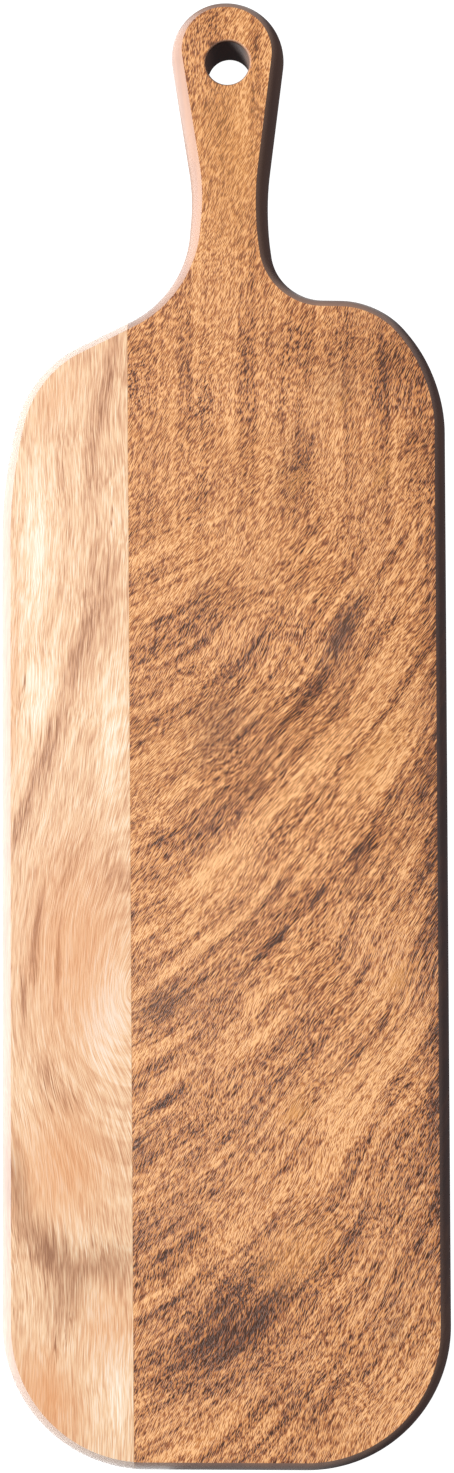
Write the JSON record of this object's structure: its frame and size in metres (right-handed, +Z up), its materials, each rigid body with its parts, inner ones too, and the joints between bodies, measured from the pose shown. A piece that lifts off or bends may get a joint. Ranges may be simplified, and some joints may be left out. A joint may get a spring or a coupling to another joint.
{
  "type": "paddle charcuterie board",
  "caption": "Flat wooden paddle board for serving or cutting: light and dark staves glued edge to edge, an integral handle with a hanging hole, rounded edges.",
  "frame": {"origin": "on the underside, below the centre of the board's bounding box", "axes": "+Y along the board towards the handle, +X to the right seen from above, +Z up out of the top face"},
  "size_m": [0.154, 0.508, 0.018],
  "materials": {
    "sapwood": "oiled acacia sapwood, satin",
    "heartwood": "oiled acacia heartwood, satin",
    "wood_glue": "dried wood glue, sanded flush"
  },
  "bodies": {
    "root": {"light_stave": "sapwood", "dark_stave": "heartwood", "glue_line": "wood_glue"}
  },
  "joints": []
}
